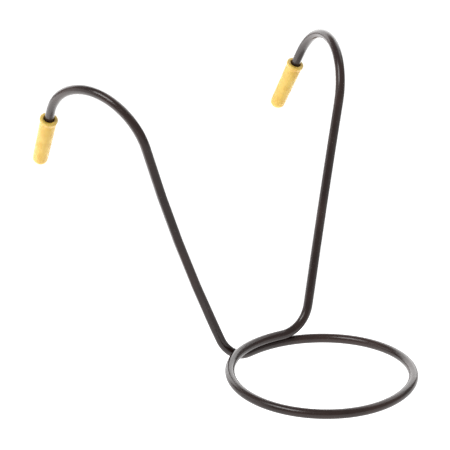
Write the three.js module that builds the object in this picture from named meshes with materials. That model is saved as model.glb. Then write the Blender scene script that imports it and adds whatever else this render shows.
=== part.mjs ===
// Razor stand: one coated steel wire, bent into a ring foot with two arms that end in hooks, and a soft
// cap pushed over each end of the wire. Millimetres, +Z up, +Y towards the hooks, ring foot towards -Y.

import * as THREE from "three";

// Driving dimensions
const WIRE_DIAMETER = 5.0; // over the plastic coating
const COATING_BORE = 4.2; // the coating's inner diameter
const CORE_DIAMETER = 4.0; // the steel rod
const RING_RADIUS = 47; // to the middle of the wire, at the front of the ring
const COIL_SHIFT = 2.0; // how much nearer the middle the wire is after one full turn
const OVERLAP = 7; // degrees by which each end of the ring runs on past the crossing
const CROSSING_GAP = 0.3; // clear space where the wire passes over itself
const RISE_START = 175; // degrees round the ring from the crossing, where the wire leaves the table
const RISE_END = 346; // degrees, where it has climbed over the other run
const BAR_LENGTH = 5; // straight run from the ring to the foot bend
const FOOT_BEND = { radius: 18, angle: 72.5, lean: 12 }; // lean is away from the ring
const SHIN_LENGTH = 2; // straight run above the foot bend
const ARM_BOW = { length: 106, angle: 8, towards: -145 }; // the arm's slight curve
const HOOK_BEND = { radius: 32, angle: 146.5, towards: 16.5 };
const TAIL_LENGTH = 18; // from the hook bend to the wire's end, inside the cap
const CAP_GRIP = { left: 13, right: 10.8 }; // how far the wire reaches into each cap
const CAP = {
  length: 32,
  bore: 5.4,
  mouthBore: 5.7,
  mouthDepth: 3,
  mouthDiameter: 9.4,
  neckDiameter: 8.7, // just behind the lip
  lip: 1.6, // length of the thicker rim at the mouth
  tipDiameter: 7.9,
  tipRadius: 3.0, // rounding of the closed end
  floor: 2.2, // thickness of the closed end
};
const SIDES = 12; // facets round the wire
const CAP_SIDES = 32;
const STEPS = { ring: 48, foot: 9, bow: 4, hook: 17, straight: 1 };

const WIRE_RISE = Math.sqrt((WIRE_DIAMETER + CROSSING_GAP) ** 2 - COIL_SHIFT ** 2);
const radians = THREE.MathUtils.degToRad;
const UP = new THREE.Vector3(0, 0, 1);

// A straight length of wire.
class Straight {
  constructor(start, direction, length, steps) {
    Object.assign(this, { start, direction, length, steps });
  }
  point(f) {
    return this.start.clone().addScaledVector(this.direction, f * this.length);
  }
  tangent() {
    return this.direction.clone();
  }
}

// A circular bend: the wire turns towards a given direction, which is first made square to it.
class Bend {
  constructor(start, direction, towards, radius, angle, steps) {
    const inward = towards.clone().addScaledVector(direction, -towards.dot(direction)).normalize();
    this.axis = direction.clone().cross(inward);
    this.centre = start.clone().addScaledVector(inward, radius);
    Object.assign(this, { start, direction, angle, steps });
  }
  point(f) {
    const arm = this.start.clone().sub(this.centre);
    return arm.applyAxisAngle(this.axis, f * this.angle).add(this.centre);
  }
  tangent(f) {
    return this.direction.clone().applyAxisAngle(this.axis, f * this.angle);
  }
}

// The ring foot: a little over one turn, flat on the table, that climbs over its own start on the last
// part and ends slightly nearer the middle.
class Ring {
  constructor(steps) {
    this.steps = steps;
  }
  point(f) {
    const degrees = f * (360 + 2 * OVERLAP) - OVERLAP;
    const radius = RING_RADIUS + (COIL_SHIFT / 2) * (1 - degrees / 180);
    return new THREE.Vector3(
      radius * Math.sin(radians(degrees)),
      radius * Math.cos(radians(degrees)),
      WIRE_RISE * THREE.MathUtils.smoothstep(degrees, RISE_START, RISE_END),
    );
  }
  tangent(f) {
    const reach = 1e-4;
    return this.point(f + reach).sub(this.point(f - reach)).normalize();
  }
}

// The same run of wire walked the other way.
class Reversed {
  constructor(run) {
    this.run = run;
    this.steps = run.steps;
  }
  point(f) {
    return this.run.point(1 - f);
  }
  tangent(f) {
    return this.run.tangent(1 - f).negate();
  }
}

// The whole wire: runs end to end, with the extrusion's steps shared out as each run asks.
class BentWire extends THREE.Curve {
  constructor(runs) {
    super();
    this.runs = runs;
    this.steps = runs.reduce((sum, run) => sum + run.steps, 0);
  }
  locate(t) {
    let left = t * this.steps;
    let k = 0;
    while (k < this.runs.length - 1 && left > this.runs[k].steps) {
      left -= this.runs[k].steps;
      k += 1;
    }
    return [this.runs[k], left / this.runs[k].steps];
  }
  getPoint(t, target = new THREE.Vector3()) {
    const [run, f] = this.locate(t);
    return target.copy(run.point(f));
  }
  getTangent(t, target = new THREE.Vector3()) {
    const [run, f] = this.locate(t);
    return target.copy(run.tangent(f));
  }
  getUtoTmapping(u) {
    return u;
  }
}

// An arm's runs from the ring outwards. side is +1 for the arm towards +X, which follows the ring's raised
// end, and -1 for the other, which leads into its start.
function armRuns(ring, side, shinLength) {
  const flat = (degrees) => new THREE.Vector3(
    side * Math.sin(radians(degrees)), Math.cos(radians(degrees)), 0);
  const runs = [];
  const ringEnd = side > 0 ? 1 : 0;
  let point = ring.point(ringEnd);
  let direction = ring.tangent(ringEnd).multiplyScalar(side);
  const add = (run) => {
    runs.push(run);
    point = run.point(1);
    direction = run.tangent(1);
  };
  const straight = (length) => add(new Straight(point, direction, length, STEPS.straight));
  const bend = (towards, radius, angle, steps) =>
    add(new Bend(point, direction, towards, radius, radians(angle), steps));

  const lean = radians(FOOT_BEND.lean);
  straight(BAR_LENGTH);
  bend(new THREE.Vector3(0, Math.sin(lean), Math.cos(lean)), FOOT_BEND.radius, FOOT_BEND.angle, STEPS.foot);
  straight(shinLength);
  const bowRadius = ARM_BOW.length / radians(ARM_BOW.angle);
  bend(flat(ARM_BOW.towards), bowRadius, ARM_BOW.angle, STEPS.bow);
  bend(flat(HOOK_BEND.towards), HOOK_BEND.radius, HOOK_BEND.angle, STEPS.hook);
  straight(TAIL_LENGTH);
  return runs;
}

// The arm that starts under the crossing has a longer shin, so that both hooks reach the same height.
const ring = new Ring(STEPS.ring);
const highArm = armRuns(ring, 1, SHIN_LENGTH);
const shin = highArm[2];
const lowArm = armRuns(ring, -1, SHIN_LENGTH + WIRE_RISE / shin.direction.z);
const wire = new BentWire([...lowArm.map((run) => new Reversed(run)).reverse(), ring, ...highArm]);

// Turns the section so that one of its facets lies flat on the table under the ring.
function facetPhase() {
  const frames = wire.computeFrenetFrames(wire.steps);
  const ringStart = lowArm.reduce((sum, run) => sum + run.steps, 0);
  const station = ringStart + STEPS.ring / 4;
  const down = UP.clone().negate();
  const across = down.dot(frames.normals[station]);
  const along = down.dot(frames.binormals[station]);
  return Math.atan2(along, across) + Math.PI / SIDES;
}

// A regular polygon whose flats are the given diameter apart.
function polygon(flats, phase) {
  const radius = flats / 2 / Math.cos(Math.PI / SIDES);
  return Array.from({ length: SIDES }, (_, k) => {
    const angle = phase + (k * 2 * Math.PI) / SIDES;
    return new THREE.Vector2(radius * Math.cos(angle), radius * Math.sin(angle));
  });
}

function sweep(section) {
  return new THREE.ExtrudeGeometry(section, {
    steps: wire.steps,
    extrudePath: wire,
    bevelEnabled: false,
  });
}

function named(name, geometry, colour, roughness, metalness) {
  const material = new THREE.MeshStandardMaterial({ color: colour, roughness, metalness });
  const mesh = new THREE.Mesh(geometry, material);
  mesh.name = name;
  return mesh;
}

function wireCore(phase) {
  const section = new THREE.Shape(polygon(CORE_DIAMETER, phase));
  return named("wire_core", sweep(section), 0x9a9c9e, 0.35, 1);
}

function wireCoating(phase) {
  const section = new THREE.Shape(polygon(WIRE_DIAMETER, phase));
  section.holes.push(new THREE.Path(polygon(COATING_BORE, phase)));
  return named("wire_coating", sweep(section), 0x2c2725, 0.3, 0);
}

// A cap's half section: the mouth at height 0, the closed end at the cap's length.
function capProfile() {
  const outline = new THREE.Path();
  const tip = CAP.tipDiameter / 2;
  const boreEnd = CAP.length - CAP.floor;
  outline.moveTo(0, boreEnd);
  outline.lineTo(CAP.bore / 2, boreEnd);
  outline.lineTo(CAP.bore / 2, CAP.mouthDepth);
  outline.lineTo(CAP.mouthBore / 2, 0);
  outline.lineTo(CAP.mouthDiameter / 2, 0);
  outline.lineTo(CAP.mouthDiameter / 2, CAP.lip);
  outline.lineTo(CAP.neckDiameter / 2, CAP.lip + 0.4);
  outline.lineTo(tip, CAP.length - CAP.tipRadius);
  outline.absarc(tip - CAP.tipRadius, CAP.length - CAP.tipRadius, CAP.tipRadius, 0, Math.PI / 2);
  outline.lineTo(0, CAP.length);
  return outline.getPoints(5);
}

// A cap on the wire's end: its axis is the wire's, and its mouth is the grip length back from the end.
function cap(name, end, outward, grip) {
  const mesh = named(name, new THREE.LatheGeometry(capProfile(), CAP_SIDES), 0xf0c65c, 0.6, 0);
  mesh.quaternion.setFromUnitVectors(new THREE.Vector3(0, 1, 0), outward);
  mesh.position.copy(end).addScaledVector(outward, -grip);
  return mesh;
}

const phase = facetPhase();
const frame = new THREE.Group();
frame.add(
  wireCore(phase),
  wireCoating(phase),
  cap("cap_left", wire.getPoint(0), wire.getTangent(0).negate(), CAP_GRIP.left),
  cap("cap_right", wire.getPoint(1), wire.getTangent(1), CAP_GRIP.right),
);

// The origin is under the middle of the object, on the table.
const bounds = new THREE.Box3().setFromObject(frame, true);
const middle = bounds.getCenter(new THREE.Vector3());
frame.position.set(-middle.x, -middle.y, -bounds.min.z);

const stand = new THREE.Group();
stand.add(frame);
export default stand;
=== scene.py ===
"""Razor stand: one steel wire in a glossy plastic coat, bent into a ring foot and two hooked arms, with a
soft vinyl cap over each end. The looks are built around the packed frame, in metres."""

import math

import bmesh
import bpy
from bpy.props import FloatProperty, FloatVectorProperty, IntProperty, PointerProperty
from mathutils import Matrix, Vector, noise


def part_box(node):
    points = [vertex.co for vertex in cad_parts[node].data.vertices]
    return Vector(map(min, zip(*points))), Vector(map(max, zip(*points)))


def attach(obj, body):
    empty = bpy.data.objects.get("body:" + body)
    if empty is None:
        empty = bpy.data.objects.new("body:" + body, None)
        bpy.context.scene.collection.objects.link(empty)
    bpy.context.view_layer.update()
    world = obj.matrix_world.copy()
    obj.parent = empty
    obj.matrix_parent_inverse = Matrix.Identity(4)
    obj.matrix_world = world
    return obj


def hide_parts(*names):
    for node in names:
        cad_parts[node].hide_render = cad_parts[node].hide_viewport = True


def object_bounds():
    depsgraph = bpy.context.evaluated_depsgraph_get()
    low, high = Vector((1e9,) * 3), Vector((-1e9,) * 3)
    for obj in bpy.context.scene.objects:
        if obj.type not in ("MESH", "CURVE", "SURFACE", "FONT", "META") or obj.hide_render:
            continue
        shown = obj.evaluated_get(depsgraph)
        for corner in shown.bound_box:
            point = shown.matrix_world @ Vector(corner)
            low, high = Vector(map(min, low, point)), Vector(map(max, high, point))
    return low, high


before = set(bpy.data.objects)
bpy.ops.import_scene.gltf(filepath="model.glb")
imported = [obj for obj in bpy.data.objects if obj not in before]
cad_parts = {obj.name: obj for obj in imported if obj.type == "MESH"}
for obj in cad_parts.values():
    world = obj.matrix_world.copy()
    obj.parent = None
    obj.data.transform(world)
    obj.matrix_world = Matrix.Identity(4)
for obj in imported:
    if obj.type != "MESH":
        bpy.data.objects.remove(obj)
PACKED_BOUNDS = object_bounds()

bl_info = {
    "name": "Razor Stand",
    "version": (1, 0, 0),
    "blender": (4, 5, 0),
    "location": "View3D > Sidebar > Razor Stand",
    "description": "Bends and coats the wire, caps its ends and sets the studio",
    "category": "Add Mesh",
}

UP = Vector((0, 0, 1))
WIRE_PLACE = "wire_place"
CAP_PLACE = "cap_place"
SAME_PLACE = 1e-5
SAME_POINT = 1e-6
SHARPEST_SMOOTH_EDGE = math.radians(38)
CAP_SIDES = 64
CAP_WALL_RINGS = 14
LUMPS_PER_METRE = 140
BORE_MARGIN = 2e-4
FLOOR_HALF_WIDTH = 6.0
SENSOR_WIDTH = 36.0

# Each soft light's name, its heading from where the camera looks, its height in degrees, its distance, its
# width and height in metres, and its brightness.
SOFTBOXES = (
    ("back_light", -6, 22, 2.4, 4.8, 1.75, 3.0),
    ("top_light", 50, 48, 1.6, 1.2, 0.9, 2.2),
    ("left_light", -95, 12, 1.6, 1.2, 0.8, 1.4),
    ("key_light", 230, 50, 1.1, 0.56, 0.46, 8.5),
)
# A card that lies face up: its place, its width and length in metres, and its brightness.
BOUNCE_CARD = (Vector((-0.12, 0.5, 0.002)), 1.0, 0.9, 2.5)


# ---------------------------------------------------------------- settings


def length(name, description, default):
    return FloatProperty(name=name, description=description, default=default, unit="LENGTH", precision=5)


def angle(name, description, degrees):
    return FloatProperty(name=name, description=description, default=math.radians(degrees), subtype="ANGLE")


def colour(name, description, default):
    return FloatVectorProperty(
        name=name, description=description, default=default, subtype="COLOR", size=3, min=0, max=1
    )


def share(name, description, default):
    return FloatProperty(name=name, description=description, default=default, subtype="FACTOR", min=0, max=1)


def brightness(name, description, default):
    return FloatProperty(name=name, description=description, default=default, min=0)


class WireSettings(bpy.types.PropertyGroup):
    """How the wire is bent, from the ring outwards"""

    diameter: length("Diameter", "Over the plastic coat", 0.005)
    coat: length("Coat", "Thickness of the plastic coat that is seen", 0.0003)
    ring_radius: length("Ring radius", "To the middle of the wire, at the front of the ring", 0.047)
    coil_shift: length("Coil shift", "How much nearer the middle the wire is after a full turn", 0.002)
    crossing_gap: length("Crossing gap", "Clear space where the wire passes over itself", 0.0003)
    overlap: angle("Overlap", "How far each end of the ring runs on past the crossing", 7)
    rise_start: angle("Rise start", "Where the ring leaves the table", 175)
    rise_end: angle("Rise end", "Where the ring has climbed over its own start", 346)
    bar: length("Bar", "Straight run from the ring to the foot bend", 0.005)
    foot_radius: length("Foot radius", "Radius of the bend that turns the wire up", 0.018)
    foot_angle: angle("Foot angle", "Turn of the foot bend", 72.5)
    foot_lean: angle("Foot lean", "Lean of the foot bend away from the ring", 12)
    shin: length("Shin", "Straight run above the foot bend", 0.002)
    bow_length: length("Bow length", "Length of the arm's slight curve", 0.106)
    bow_angle: angle("Bow angle", "Turn of the arm's slight curve", 8)
    bow_towards: angle("Bow direction", "Heading that the slight curve turns towards", -145)
    hook_radius: length("Hook radius", "Radius of the hook", 0.032)
    hook_angle: angle("Hook angle", "Turn of the hook", 146.5)
    hook_towards: angle("Hook direction", "Heading that the hook turns towards", 16.5)
    tail: length("Tail", "Straight end of the wire, inside the cap", 0.018)
    sides: IntProperty(name="Sides", description="Facets round the coat", default=40, min=12, max=96)
    turn_step: angle("Turn step", "Largest turn between two sections", 2.5)


class CapSettings(bpy.types.PropertyGroup):
    """Sizes of the soft caps"""

    length: length("Length", "From the mouth to the closed end", 0.032)
    bore: length("Bore", "Inner diameter", 0.0054)
    mouth_bore: length("Mouth bore", "Inner diameter at the mouth", 0.0057)
    mouth_depth: length("Mouth depth", "Length of the flared mouth", 0.003)
    rim: length("Rim", "Outer diameter of the rolled rim", 0.0094)
    rim_length: length("Rim length", "Length of the rolled rim", 0.0016)
    rim_step: length("Rim step", "Length of the slope from the rim to the neck", 0.0005)
    rim_round: length("Rim rounding", "Rounding of the rim's outer edge", 0.0006)
    step_round: length("Step rounding", "Rounding of the edge where the rim ends", 0.0003)
    mouth_round: length("Mouth rounding", "Rounding of the mouth's inner edge", 0.0004)
    neck: length("Neck", "Outer diameter just behind the rim", 0.0087)
    tip: length("Tip", "Outer diameter at the closed end", 0.0079)
    tip_radius: length("Tip radius", "Rounding of the closed end", 0.003)
    floor: length("End wall", "Thickness of the closed end", 0.0022)
    grip_left: length("Left grip", "How far the wire reaches into the left cap", 0.013)
    grip_right: length("Right grip", "How far the wire reaches into the right cap", 0.0108)
    unevenness: length("Unevenness", "How far the soft wall strays from true", 0.00006)


class FinishSettings(bpy.types.PropertyGroup):
    """Colours and gloss"""

    coat_dark: colour("Coat dark", "Darker tone of the plastic coat", (0.014, 0.0075, 0.0065))
    coat_brown: colour("Coat brown", "Warmer tone of the plastic coat", (0.034, 0.0185, 0.0155))
    coat_dust: colour("Coat dust", "Tone of the specks of dust on the coat", (0.16, 0.145, 0.13))
    coat_roughness: share("Coat roughness", "Roughness of the clean coat", 0.2)
    cap_yellow: colour("Cap yellow", "Main tone of the vinyl caps", (0.54, 0.345, 0.046))
    cap_orange: colour("Cap orange", "Deeper tone of the vinyl caps", (0.45, 0.235, 0.028))
    # Used both for the chalky handling marks and as the painted highlight on the cap's rim.
    cap_cream_and_rim_highlight: colour("Cap cream", "Chalky tone of the handled vinyl", (0.61, 0.44, 0.1))
    # Painted shade: the darker tone painted in and round the cap's bore, where the hole lies in shade.
    cap_inside_shade: colour("Cap inside", "Tone of the vinyl inside the mouth", (0.3, 0.13, 0.02))
    cap_roughness: share("Cap roughness", "Roughness of the vinyl", 0.5)
    steel: colour("Steel", "Tone of the drawn steel core", (0.58, 0.58, 0.6))


class StageSettings(bpy.types.PropertyGroup):
    """Camera and light"""

    lens: FloatProperty(name="Lens", description="Focal length in mm on a 36 mm frame", default=180.17)
    azimuth: angle("Azimuth", "Camera's heading, from +Y towards +X", 35.74)
    elevation: angle("Elevation", "Camera's height above the horizon", 20.79)
    roll: angle("Roll", "Camera's roll", -1.8)
    distance: length("Distance", "From the camera to the point it looks at", 1.15707)
    aim: FloatVectorProperty(
        name="Aim",
        description="Point the camera looks at, from the middle of the object's box",
        default=(-0.01684, 0.01079, -0.00285),
        subtype="TRANSLATION",
        unit="LENGTH",
    )
    surround: brightness("Surround", "Brightness of the studio around the stand", 0.45)
    glow: brightness("Glow", "Brightness of the lit floor", 0.9)
    pool_glow: brightness("Pool glow", "Brightness of the floor under the ring", 1.5)
    pool_radius: length("Pool radius", "Size of the brightest patch of the floor", 0.06)


def settings(group):
    return getattr(bpy.context.scene, "razor_stand_" + group)


# ---------------------------------------------------------------- materials


class Number:
    """A number socket. Python's arithmetic on it adds Math nodes."""

    def __init__(self, tree, socket):
        self.tree = tree
        self.socket = socket

    def _math(self, operation, first, second=None):
        node = self.tree.nodes.new("ShaderNodeMath")
        node.operation = operation
        for slot, value in zip(node.inputs, (first, second)):
            if isinstance(value, Number):
                self.tree.links.new(value.socket, slot)
            elif value is not None:
                slot.default_value = value
        return Number(self.tree, node.outputs[0])

    def __add__(self, other):
        return self._math("ADD", self, other)

    __radd__ = __add__

    def __mul__(self, other):
        return self._math("MULTIPLY", self, other)

    __rmul__ = __mul__

    def __sub__(self, other):
        return self._math("SUBTRACT", self, other)

    def __rsub__(self, other):
        return self._math("SUBTRACT", other, self)

    def limit(self, low, high):
        return self._math("MAXIMUM", self._math("MINIMUM", self, high), low)


class Finish:
    """A node material for one of the stand's pieces."""

    def __init__(self, name):
        self.material = bpy.data.materials.new(name)
        self.material.use_nodes = True
        self.tree = self.material.node_tree
        self.tree.nodes.clear()

    def node(self, kind, options=None, sockets=None):
        """Adds a node: first its options, such as an operation, then the values or links of its sockets."""
        node = self.tree.nodes.new("ShaderNode" + kind)
        for key, value in (options or {}).items():
            setattr(node, key, value)
        for key, value in (sockets or {}).items():
            socket = node.inputs[key]
            if isinstance(value, Number):
                self.tree.links.new(value.socket, socket)
            elif isinstance(value, bpy.types.NodeSocket):
                self.tree.links.new(value, socket)
            elif socket.type == "RGBA" and len(value) == 3:
                socket.default_value = (*value, 1.0)
            else:
                socket.default_value = value
        return node

    def number(self, node, output=0):
        return Number(self.tree, node.outputs[output])

    def here(self):
        """The place on the stand, in metres."""
        return self.node("TexCoord").outputs["Object"]

    def attribute(self, name):
        return self.node("Attribute", {"attribute_name": name}).outputs["Vector"]

    def stretched(self, vector, scale):
        return self.node("Mapping", sockets={"Vector": vector, "Scale": scale}).outputs[0]

    def grain(self, vector, scale, detail=2.0, roughness=0.5):
        """Cloudy noise from 0 to 1, with a number of lumps to the metre."""
        sockets = {"Vector": vector, "Scale": scale, "Detail": detail, "Roughness": roughness}
        return self.number(self.node("TexNoise", sockets=sockets))

    def between(self, value, low, high):
        """1 above high, 0 below low, and smooth between them."""
        sockets = {"Value": value, "From Min": low, "From Max": high}
        return self.number(self.node("MapRange", {"interpolation_type": "SMOOTHSTEP"}, sockets))

    def blend(self, first, second, factor):
        """A colour between two colours."""
        node = self.node("Mix", {"data_type": "RGBA"}, {0: factor, 6: first, 7: second})
        return node.outputs[2]

    def bump(self, height, strength, distance):
        sockets = {"Height": height, "Strength": strength, "Distance": distance}
        return self.node("Bump", sockets=sockets).outputs[0]

    def shade(self, **sockets):
        """Ends the material in a Principled shader whose sockets are given by name."""
        named = {key.replace("_", " ").title().replace("Ior", "IOR"): value for key, value in sockets.items()}
        shader = self.node("BsdfPrincipled", sockets=named)
        self.node("OutputMaterial", sockets={"Surface": shader.outputs[0]})
        return self.material


def coat_finish():
    """Glossy brown-black plastic: fine orange peel, faint lengthwise drawing, dust and handling haze."""
    tones = settings("finish")
    finish = Finish("glossy_coat")
    here = finish.here()
    along = finish.stretched(finish.attribute(WIRE_PLACE), (1.0, 1.0, 0.06))
    clouds = finish.grain(here, 38.0, detail=3.0)
    drawing = finish.grain(along, 900.0, detail=1.0)
    peel = finish.grain(here, 950.0, detail=2.0)
    specks = finish.between(finish.grain(here, 1500.0, detail=1.0), 0.71, 0.76)
    haze = finish.between(finish.grain(here, 120.0, detail=4.0, roughness=0.6), 0.5, 0.72)
    brownness = (finish.between(clouds, 0.35, 0.65) * 0.75 + drawing * 0.25).limit(0.0, 1.0)
    tone = finish.blend(tuple(tones.coat_dark), tuple(tones.coat_brown), brownness)
    tone = finish.blend(tone, tuple(tones.coat_dust), specks * 0.35)
    roughness = tones.coat_roughness + haze * 0.09 + drawing * 0.05 + specks * 0.25
    return finish.shade(
        base_color=tone,
        roughness=roughness,
        ior=1.41,
        normal=finish.bump(peel * 0.7 + drawing * 0.3, 0.16, 0.00012),
    )


def vinyl_finish():
    """Soft golden vinyl: cloudy mottling, a matt skin, painted shade inside the mouth, a painted highlight on
    the rim with painted shade in the step behind it, and chalky handling marks."""
    tones = settings("finish")
    caps = settings("caps")
    finish = Finish("golden_vinyl")
    here = finish.here()
    place = finish.node("SeparateXYZ", sockets={0: finish.attribute(CAP_PLACE)})
    depth = finish.number(place, 2)
    radius = finish.number(place, 0)
    mottling = finish.between(finish.grain(here, 260.0, detail=3.0, roughness=0.6), 0.36, 0.66)
    clouds = finish.between(finish.grain(here, 90.0, detail=2.0), 0.4, 0.66)
    skin = finish.grain(here, 2600.0, detail=3.0)
    pores = finish.between(finish.grain(here, 1300.0, detail=1.0), 0.7, 0.78)
    mouth, edge, groove_start = caps.mouth_bore / 2, caps.rim / 2, caps.rim_length
    # Painted shade: darkens the bore and the mouth's face next to it.
    inside = 1 - finish.between(radius, mouth - 0.0002, mouth + 0.0004)
    # Painted highlight: a pale band on the mouth's face near the rim's outer edge.
    rim_highlight = 1 - finish.between(depth, 0.0, 0.0011)
    rim_highlight = rim_highlight * finish.between(radius, edge - 0.0016, edge - 0.0005)
    # Painted shade: a darker band in the step just behind the rim.
    groove_shade = finish.between(depth, groove_start, groove_start + 0.0004)
    groove_shade = groove_shade * (1 - finish.between(depth, groove_start + 0.0005, groove_start + 0.0022))
    tone = finish.blend(tuple(tones.cap_yellow), tuple(tones.cap_orange), mottling * 0.38)
    tone = finish.blend(tone, tuple(tones.cap_cream_and_rim_highlight), clouds * 0.3)
    # Painted shade in the step behind the rim.
    tone = finish.blend(tone, tuple(tones.cap_orange), groove_shade * 0.45)
    # Painted highlight on the rim.
    tone = finish.blend(tone, tuple(tones.cap_cream_and_rim_highlight), rim_highlight * 0.8)
    # Painted shade in and round the bore.
    tone = finish.blend(tone, tuple(tones.cap_inside_shade), inside * 0.7)
    roughness = tones.cap_roughness + mottling * 0.08 - clouds * 0.06 + pores * 0.1
    return finish.shade(
        base_color=tone,
        roughness=roughness,
        subsurface_weight=0.12,
        subsurface_radius=(1.0, 0.5, 0.15),
        subsurface_scale=0.0012,
        ior=1.45,
        normal=finish.bump(skin * 0.6 + pores * -0.4 + mottling * 0.5, 0.18, 0.00015),
    )


def steel_finish():
    """Drawn steel rod: fine scratches and a dull film."""
    finish = Finish("drawn_steel")
    here = finish.here()
    film = finish.grain(here, 160.0, detail=3.0)
    scratches = finish.grain(finish.stretched(here, (1.0, 1.0, 0.08)), 1800.0)
    steel = tuple(settings("finish").steel)
    tone = finish.blend(steel, tuple(0.6 * part for part in steel), finish.between(film, 0.4, 0.7))
    return finish.shade(
        base_color=tone,
        metallic=1.0,
        roughness=0.28 + film * 0.12 + scratches * 0.1,
        normal=finish.bump(scratches, 0.1, 0.0001),
    )


def floor_finish(middle):
    """A matt floor that glows white, as if lit from below. It is brightest under the ring's middle."""
    stage = settings("stage")
    finish = Finish("lit_floor")
    here = finish.here()
    tooth = finish.grain(here, 60.0)
    tone = finish.blend((0.16, 0.16, 0.16), (0.13, 0.13, 0.13), tooth)
    away = finish.number(finish.node("VectorMath", {"operation": "DISTANCE"}, {0: here, 1: middle}), 1)
    outside = finish.between(away, stage.pool_radius, stage.pool_radius * 2)
    dim = stage.glow / stage.pool_glow
    return finish.shade(
        base_color=tone,
        roughness=0.9,
        specular_ior_level=0.1,
        emission_color=finish.blend((1, 1, 1), (dim, dim, dim), outside),
        emission_strength=stage.pool_glow,
    )


# ---------------------------------------------------------------- shared making


def finished_piece(name, mesh_maker, material, replaced):
    """A shown piece from its bmesh, riding on the stand's one body in place of a CAD node."""
    mesh = bpy.data.meshes.new(name)
    mesh_maker.to_mesh(mesh)
    mesh_maker.free()
    mesh.polygons.foreach_set("use_smooth", [True] * len(mesh.polygons))
    mesh.set_sharp_from_angle(angle=SHARPEST_SMOOTH_EDGE)
    mesh.materials.append(material)
    piece = bpy.data.objects.new(name, mesh)
    bpy.context.scene.collection.objects.link(piece)
    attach(piece, "root")
    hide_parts(replaced)
    return piece


def verts_in(geometry):
    return [item for item in geometry if isinstance(item, bmesh.types.BMVert)]


def edges_of(verts):
    """Edges whose two ends are both among the vertices."""
    chosen = set(verts)
    touching = dict.fromkeys(edge for vert in verts for edge in vert.link_edges)
    return [edge for edge in touching if chosen.issuperset(edge.verts)]


# ---------------------------------------------------------------- wire


def ring_point(wire, turned):
    """Middle of the wire at an angle round the ring, from the crossing towards +X."""
    thickness = wire.diameter + wire.crossing_gap
    rise = math.sqrt(thickness**2 - wire.coil_shift**2)
    climbed = min(max((turned - wire.rise_start) / (wire.rise_end - wire.rise_start), 0.0), 1.0)
    radius = wire.ring_radius + wire.coil_shift / 2 * (1 - turned / math.pi)
    height = rise * climbed * climbed * (3 - 2 * climbed)
    return Vector((radius * math.sin(turned), radius * math.cos(turned), height))


def ring_heading(wire, turned):
    """The wire's level direction at an angle round the ring."""
    reach = 1e-3
    step = ring_point(wire, turned + reach) - ring_point(wire, turned - reach)
    return Vector((step.x, step.y, 0)).normalized()


class WireEnd:
    """The working end of the wire: where it is, where it points, and the section last made there."""

    def __init__(self, mesh, section, point, heading, direction):
        self.mesh = mesh
        self.section = section
        self.heading = heading
        self.direction = direction
        self.travelled = 0.0
        self.trail = [point]

    @property
    def point(self):
        return self.trail[-1]

    def _arrive(self, verts, point):
        """Takes over a new section and notes on it how far along the wire it is."""
        self.section = verts
        self.travelled += (point - self.point).length * self.direction
        self.trail.append(point)
        for vert in verts:
            layer = self.mesh.verts.layers.float_vector[WIRE_PLACE]
            x, y, _ = vert[layer]
            vert[layer] = (x, y, self.travelled)

    def _swing(self, centre, axis, turn, shift=Vector()):
        """Makes one section further round a bend."""
        verts = []
        if self.mesh is not None:
            geometry = [*self.section, *edges_of(self.section)]
            spun = bmesh.ops.spin(
                self.mesh, geom=geometry, cent=centre, axis=axis, dvec=shift, angle=turn, steps=1
            )
            verts = verts_in(spun["geom_last"])
        rotation = Matrix.Rotation(turn, 3, axis)
        self.heading = rotation @ self.heading
        self._arrive(verts, centre + rotation @ (self.point - centre) + shift)

    def straight(self, run):
        """Pulls the wire straight on."""
        verts = []
        if self.mesh is not None:
            pulled = bmesh.ops.extrude_edge_only(self.mesh, edges=edges_of(self.section))
            verts = verts_in(pulled["geom"])
            bmesh.ops.translate(self.mesh, vec=self.heading * run, verts=verts)
        self._arrive(verts, self.point + self.heading * run)

    def bend(self, towards, radius, turn):
        """Bends the wire towards a direction, which is first made square to it."""
        inward = (towards - towards.dot(self.heading) * self.heading).normalized()
        axis = self.heading.cross(inward)
        centre = self.point + inward * radius
        steps = max(2, math.ceil(turn / settings("wire").turn_step))
        for _ in range(steps):
            self._swing(centre, axis, turn / steps)

    def coil(self, wire):
        """Bends the ring: round its middle, up over its own start and slightly inwards."""
        start, end = -wire.overlap, 2 * math.pi + wire.overlap
        steps = math.ceil((end - start) / wire.turn_step)
        step = (end - start) / steps
        swing = Matrix.Rotation(-step, 3, UP)
        for k in range(1, steps + 1):
            shift = ring_point(wire, start + k * step) - swing @ self.point
            self._swing(Vector(), UP, -step, shift)


def bend_foot(end, wire):
    """Turns the wire up from the ring."""
    upwards = Vector((0, math.sin(wire.foot_lean), math.cos(wire.foot_lean)))
    end.straight(wire.bar)
    end.bend(upwards, wire.foot_radius, wire.foot_angle)


def bend_arm(end, wire, side, shin):
    """Bends an arm on the wire's working end. side is 1 for the arm towards +X and -1 for the other."""

    def flat(turned):
        return Vector((side * math.sin(turned), math.cos(turned), 0))

    bend_foot(end, wire)
    end.straight(shin)
    end.bend(flat(wire.bow_towards), wire.bow_length / wire.bow_angle, wire.bow_angle)
    end.bend(flat(wire.hook_towards), wire.hook_radius, wire.hook_angle)
    end.straight(wire.tail)


def bend_whole_wire(mesh=None, section=()):
    """Bends the ring and both arms, and gives the wire's left and right ends. Without a mesh it only works
    out where the wire goes."""
    wire = settings("wire")
    start = ring_point(wire, -wire.overlap)
    heading = ring_heading(wire, -wire.overlap)
    right = WireEnd(mesh, section, start, heading, 1)
    right.coil(wire)
    level = right.point.z
    bend_arm(right, wire, 1, wire.shin)
    shin = WireEnd(None, (), start, -heading, -1)
    bend_foot(shin, wire)
    left = WireEnd(mesh, section, start, -heading, -1)
    bend_arm(left, wire, -1, wire.shin + level / shin.heading.z)
    return left, right


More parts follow.
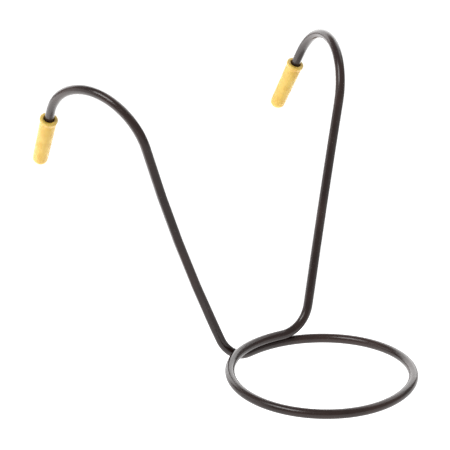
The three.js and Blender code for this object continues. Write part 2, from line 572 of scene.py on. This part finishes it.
def wire_offset():
    """From the ring's own middle to the frame, so that the bent wire stands where the packed coat does."""
    left, right = bend_whole_wire()
    radius = settings("wire").diameter / 2
    xs, ys, zs = zip(*left.trail, *right.trail)
    low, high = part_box("wire_coating")
    beside = (low.x + high.x - min(xs) - max(xs)) / 2
    return Vector((beside, low.y - min(ys) + radius, low.z - min(zs) + radius))


class RAZORSTAND_OT_wire(bpy.types.Operator):
    """Bends the coated wire into the ring foot, the two arms and their hooks"""

    bl_idname = "razor_stand.wire"
    bl_label = "Bend coated wire"

    def execute(self, context):
        wire = settings("wire")
        mesh = bmesh.new()
        layer = mesh.verts.layers.float_vector.new(WIRE_PLACE)
        heading = ring_heading(wire, -wire.overlap)
        stand_up = heading.to_track_quat("Z", "Y").to_matrix().to_4x4()
        place = Matrix.Translation(ring_point(wire, -wire.overlap)) @ stand_up
        section = []
        for radius in (wire.diameter / 2, wire.diameter / 2 - wire.coat):
            section += bmesh.ops.create_circle(mesh, segments=wire.sides, radius=radius)["verts"]
        for vert in section:
            vert[layer] = vert.co
        bmesh.ops.transform(mesh, matrix=place, verts=section)
        for end in bend_whole_wire(mesh, section):
            bmesh.ops.bridge_loops(mesh, edges=edges_of(end.section))
        bmesh.ops.recalc_face_normals(mesh, faces=mesh.faces)
        bmesh.ops.translate(mesh, vec=wire_offset(), verts=mesh.verts)
        finished_piece("coated_wire", mesh, coat_finish(), "wire_coating")
        return {"FINISHED"}


# ---------------------------------------------------------------- core


class RAZORSTAND_OT_core(bpy.types.Operator):
    """Gives the steel core inside the coat its drawn finish"""

    bl_idname = "razor_stand.core"
    bl_label = "Finish steel core"

    def execute(self, context):
        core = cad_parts["wire_core"]
        steel = steel_finish()
        if core.material_slots:
            for slot in core.material_slots:
                slot.material = steel
        else:
            core.data.materials.append(steel)
        return {"FINISHED"}


# ---------------------------------------------------------------- caps


def off_axis(vert):
    """A vertex's distance from the cap's axis."""
    return vert.co.xy.length


def soften(mesh, radius, depth, offset, segments):
    """Rounds the hoop of edges at a radius and depth of the cap."""
    hoop = [
        vert
        for vert in mesh.verts
        if abs(vert.co.z - depth) < SAME_PLACE and abs(off_axis(vert) - radius) < SAME_PLACE
    ]
    bmesh.ops.bevel(
        mesh, geom=edges_of(hoop), offset=offset, segments=segments, profile=0.5, affect="EDGES", material=-1
    )


def cap_mesh(caps, seed):
    """A cap standing on its mouth along +Z. The seed makes its unevenness its own."""
    mesh = bmesh.new()
    between_walls = (caps.mouth_bore + caps.tip) / 4
    bore_end = caps.length - caps.floor
    outline = [
        (0, bore_end),
        (caps.bore / 2, bore_end),
        (caps.bore / 2, caps.mouth_depth),
        (caps.mouth_bore / 2, 0),
        (caps.rim / 2, 0),
        (caps.rim / 2, caps.rim_length),
        (caps.neck / 2, caps.rim_length + caps.rim_step),
        (caps.tip / 2, caps.length),
        (0, caps.length),
    ]
    corners = [mesh.verts.new((x, 0, z)) for x, z in outline]
    lines = [mesh.edges.new(pair) for pair in zip(corners, corners[1:])]
    bmesh.ops.spin(
        mesh,
        geom=corners + lines,
        cent=(0, 0, 0),
        axis=UP,
        angle=2 * math.pi,
        steps=CAP_SIDES,
        use_merge=True,
    )
    bmesh.ops.remove_doubles(mesh, verts=mesh.verts, dist=SAME_POINT)
    soften(mesh, caps.tip / 2, caps.length, caps.tip_radius, 8)
    soften(mesh, caps.rim / 2, 0, caps.rim_round, 4)
    soften(mesh, caps.rim / 2, caps.rim_length, caps.step_round, 3)
    soften(mesh, caps.mouth_bore / 2, 0, caps.mouth_round, 3)
    outer_wall = [
        edge
        for edge in mesh.edges
        if abs(edge.verts[0].co.z - edge.verts[1].co.z) > caps.length / 2
        and off_axis(edge.verts[0]) > between_walls
    ]
    bmesh.ops.subdivide_edges(mesh, edges=outer_wall, cuts=CAP_WALL_RINGS, use_grid_fill=True)
    bmesh.ops.recalc_face_normals(mesh, faces=mesh.faces)
    layer = mesh.verts.layers.float_vector.new(CAP_PLACE)
    for vert in mesh.verts:
        radius = off_axis(vert)
        vert[layer] = (radius, 0, vert.co.z)
        # The bore and the mouth's face stay true.
        if radius > caps.mouth_bore / 2 + BORE_MARGIN and vert.co.z > caps.rim_length / 2:
            stray = noise.noise(vert.co * LUMPS_PER_METRE + Vector((seed, 0, 0))) - 0.5
            vert.co += Vector((vert.co.x, vert.co.y, 0)) / radius * stray * caps.unevenness
    return mesh


class RAZORSTAND_OT_caps(bpy.types.Operator):
    """Pushes a soft vinyl cap over each end of the wire"""

    bl_idname = "razor_stand.caps"
    bl_label = "Fit end caps"

    def execute(self, context):
        caps = settings("caps")
        vinyl = vinyl_finish()
        left, right = bend_whole_wire()
        offset = wire_offset()
        fitted = (("left", left, caps.grip_left, 3.1), ("right", right, caps.grip_right, 8.7))
        for side, end, grip, seed in fitted:
            mesh = cap_mesh(caps, seed)
            mouth = end.point + offset - end.heading * grip
            turn = UP.rotation_difference(end.heading).to_matrix().to_4x4()
            bmesh.ops.transform(mesh, matrix=Matrix.Translation(mouth) @ turn, verts=mesh.verts)
            finished_piece("end_cap_" + side, mesh, vinyl, "cap_" + side)
        return {"FINISHED"}


# ---------------------------------------------------------------- stage


def direction_at(heading, height):
    """The direction at a heading from +Y towards +X and a height above the horizon."""
    level = math.cos(height)
    return Vector((math.sin(heading) * level, math.cos(heading) * level, math.sin(height)))


def camera_axes(stage):
    """The camera's right, up and forward directions."""
    forward = direction_at(stage.azimuth, -stage.elevation)
    level = forward.cross(UP).normalized()
    upright = level.cross(forward)
    right = level * math.cos(stage.roll) + upright * math.sin(stage.roll)
    return right, right.cross(forward), forward


def softbox(name, place, aim, width, height, radiance):
    """A rectangular soft light of an even brightness, out of the camera's sight."""
    lamp = bpy.data.lights.new(name, "AREA")
    lamp.shape = "RECTANGLE"
    lamp.size, lamp.size_y = width, height
    lamp.energy = radiance * math.pi * width * height
    box = bpy.data.objects.new(name, lamp)
    turned = (aim - place).to_track_quat("-Z", "Y").to_matrix().to_4x4()
    box.matrix_world = Matrix.Translation(place) @ turned
    box.visible_camera = False
    bpy.context.scene.collection.objects.link(box)


def lay_floor():
    """A wide level floor, lit brightest under the ring."""
    sheet = bmesh.new()
    bmesh.ops.create_grid(sheet, x_segments=4, y_segments=4, size=FLOOR_HALF_WIDTH)
    mesh = bpy.data.meshes.new("floor")
    sheet.to_mesh(mesh)
    sheet.free()
    ring_middle = wire_offset()
    ring_middle.z = 0
    mesh.materials.append(floor_finish(ring_middle))
    floor = bpy.data.objects.new("floor", mesh)
    bpy.context.scene.collection.objects.link(floor)


def light_studio(middle):
    """An even surround, soft lights round the stand and a bounce card just over the floor behind it."""
    scene, stage = bpy.context.scene, settings("stage")
    world = bpy.data.worlds.new("surround")
    world.use_nodes = True
    background = world.node_tree.nodes["Background"]
    background.inputs["Color"].default_value = (1, 1, 1, 1)
    background.inputs["Strength"].default_value = stage.surround
    scene.world = world
    scene.view_settings.view_transform = "Standard"
    for name, heading, height, distance, *box in SOFTBOXES:
        direction = direction_at(stage.azimuth + math.radians(heading), math.radians(height))
        softbox(name, middle + distance * direction, middle, *box)
    place, *card = BOUNCE_CARD
    softbox("bounce_card", place, place + UP, *card)


def set_camera(middle):
    """The camera, aimed from the middle of the stand's box."""
    scene, stage = bpy.context.scene, settings("stage")
    right, up, forward = camera_axes(stage)
    camera = bpy.data.cameras.new("camera")
    camera.lens = stage.lens
    camera.sensor_width = SENSOR_WIDTH
    camera.clip_end = 50.0
    viewer = bpy.data.objects.new("camera", camera)
    turned = Matrix((right, up, -forward)).transposed().to_4x4()
    place = middle + Vector(stage.aim) - forward * stage.distance
    viewer.matrix_world = Matrix.Translation(place) @ turned
    scene.collection.objects.link(viewer)
    scene.camera = viewer


class RAZORSTAND_OT_stage(bpy.types.Operator):
    """Lays the lit floor, hangs the soft lights and sets the camera"""

    bl_idname = "razor_stand.stage"
    bl_label = "Set studio"

    def execute(self, context):
        low, high = PACKED_BOUNDS
        middle = (low + high) / 2
        lay_floor()
        light_studio(middle)
        set_camera(middle)
        return {"FINISHED"}


# ---------------------------------------------------------------- add-on


GROUPS = {
    "wire": WireSettings,
    "caps": CapSettings,
    "finish": FinishSettings,
    "stage": StageSettings,
}
OPERATORS = (RAZORSTAND_OT_wire, RAZORSTAND_OT_core, RAZORSTAND_OT_caps, RAZORSTAND_OT_stage)


class RAZORSTAND_PT_panel(bpy.types.Panel):
    """The stand's steps and sizes"""

    bl_idname = "RAZORSTAND_PT_panel"
    bl_label = "Razor Stand"
    bl_space_type = "VIEW_3D"
    bl_region_type = "UI"
    bl_category = "Razor Stand"

    def draw(self, context):
        for operator in OPERATORS:
            self.layout.operator(operator.bl_idname)
        for group, kind in GROUPS.items():
            box = self.layout.box()
            box.label(text=kind.__doc__)
            for name in kind.__annotations__:
                box.prop(settings(group), name)


def register():
    for kind in (*GROUPS.values(), *OPERATORS, RAZORSTAND_PT_panel):
        bpy.utils.register_class(kind)
    for group, kind in GROUPS.items():
        setattr(bpy.types.Scene, "razor_stand_" + group, PointerProperty(type=kind))


def unregister():
    for group in GROUPS:
        delattr(bpy.types.Scene, "razor_stand_" + group)
    for kind in reversed((*GROUPS.values(), *OPERATORS, RAZORSTAND_PT_panel)):
        bpy.utils.unregister_class(kind)


def main():
    register()
    bpy.ops.razor_stand.wire()
    bpy.ops.razor_stand.core()
    bpy.ops.razor_stand.caps()
    bpy.ops.razor_stand.stage()


if __name__ == "__main__":
    main()
